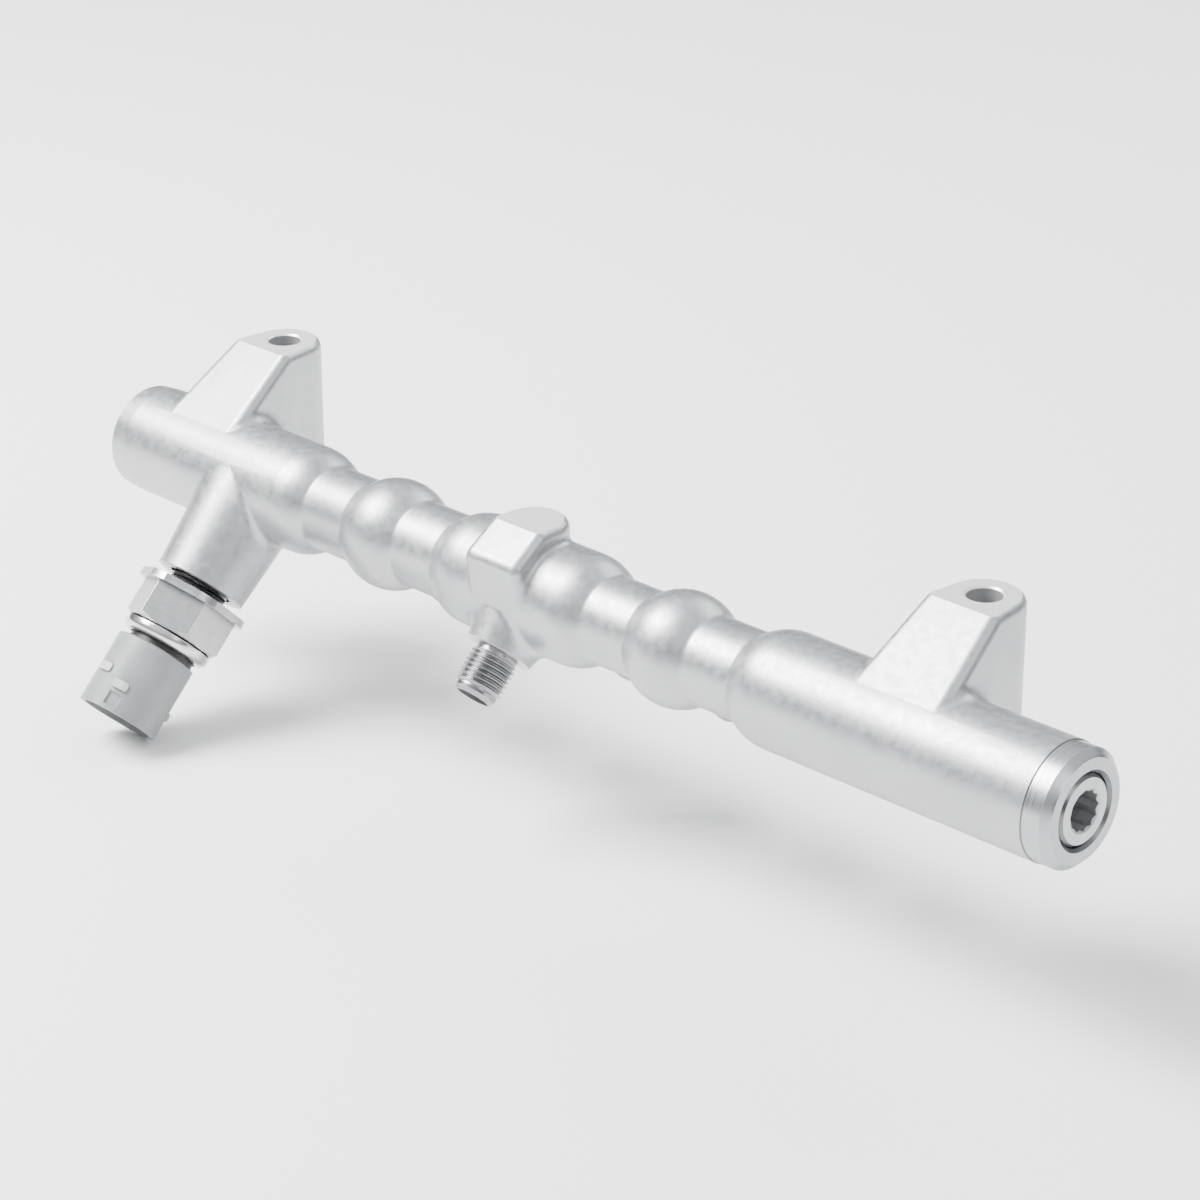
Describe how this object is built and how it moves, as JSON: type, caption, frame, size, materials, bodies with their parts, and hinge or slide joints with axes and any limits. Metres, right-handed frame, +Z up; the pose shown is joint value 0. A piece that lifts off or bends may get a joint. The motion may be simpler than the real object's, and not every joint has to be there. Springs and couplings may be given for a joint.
{
  "type": "fuel rail",
  "caption": "Forged round fuel rail with bulged outlet bosses, two bolt posts, a threaded inlet, a screwed end plug and a pressure sensor.",
  "frame": {"origin": "midway between the two mounting bolts, on the seat plane under the posts", "axes": "+X along the rail towards the plugged end, +Z up along the mounting bolts, away from the seats"},
  "size_m": [0.3586, 0.1083, 0.0991],
  "materials": {
    "forged_steel": "pale satin zinc-nickel plate over a fine forged skin",
    "plug_steel": "plated and turned",
    "connector_steel": "turned, phosphated grey",
    "sensor_steel": "machined stainless steel",
    "collar_steel": "rolled bright stainless steel",
    "plug_plastic": "glass-filled moulded grey",
    "inner_plastic": "moulded",
    "board": "lacquered board",
    "seal_rubber": "moulded",
    "terminal_metal": "tin-plated"
  },
  "bodies": {
    "root": {"rail_body": "forged_steel", "end_plug": "plug_steel", "inlet_connector": "connector_steel", "inlet_throttle": "connector_steel", "outlet_connector_1": "connector_steel", "outlet_throttle_1": "connector_steel", "outlet_connector_2": "connector_steel", "outlet_throttle_2": "connector_steel", "outlet_connector_3": "connector_steel", "outlet_throttle_3": "connector_steel", "outlet_connector_4": "connector_steel", "outlet_throttle_4": "connector_steel", "outlet_connector_5": "connector_steel", "outlet_throttle_5": "connector_steel", "outlet_connector_6": "connector_steel", "outlet_throttle_6": "connector_steel", "sensor_port": "sensor_steel", "sensor_membrane": "sensor_steel", "sensor_hex_body": "sensor_steel", "sensor_board_carrier": "inner_plastic", "sensor_circuit_board": "board", "sensor_seal_ring": "seal_rubber", "sensor_crimp_collar": "collar_steel", "sensor_connector": "plug_plastic", "sensor_terminal_1": "terminal_metal", "sensor_terminal_2": "terminal_metal", "sensor_terminal_3": "terminal_metal"}
  },
  "joints": []
}
